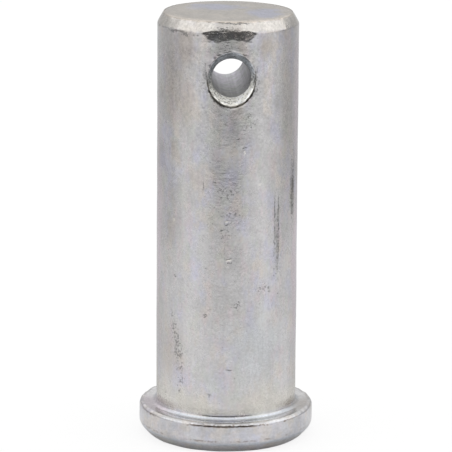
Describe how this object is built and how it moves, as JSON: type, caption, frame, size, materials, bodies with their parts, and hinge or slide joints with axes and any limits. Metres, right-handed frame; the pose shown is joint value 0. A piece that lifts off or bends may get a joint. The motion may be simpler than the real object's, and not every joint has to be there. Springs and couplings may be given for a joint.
{
  "type": "clevis pin",
  "caption": "Plain steel clevis pin with a flat round head, a short chamfered point and a countersunk cross hole for a cotter pin.",
  "frame": {"origin": "centre of the head's flat outer face, which the pin stands on", "axes": "+Z along the pin's axis, from the head to the point; the cross hole runs along Y"},
  "size_m": [0.0156, 0.0156, 0.0386],
  "materials": {
    "zinc_plated_steel": "zinc plated, satin, with a faint passivation tint"
  },
  "bodies": {
    "root": {"clevis_pin": "zinc_plated_steel"}
  },
  "joints": []
}
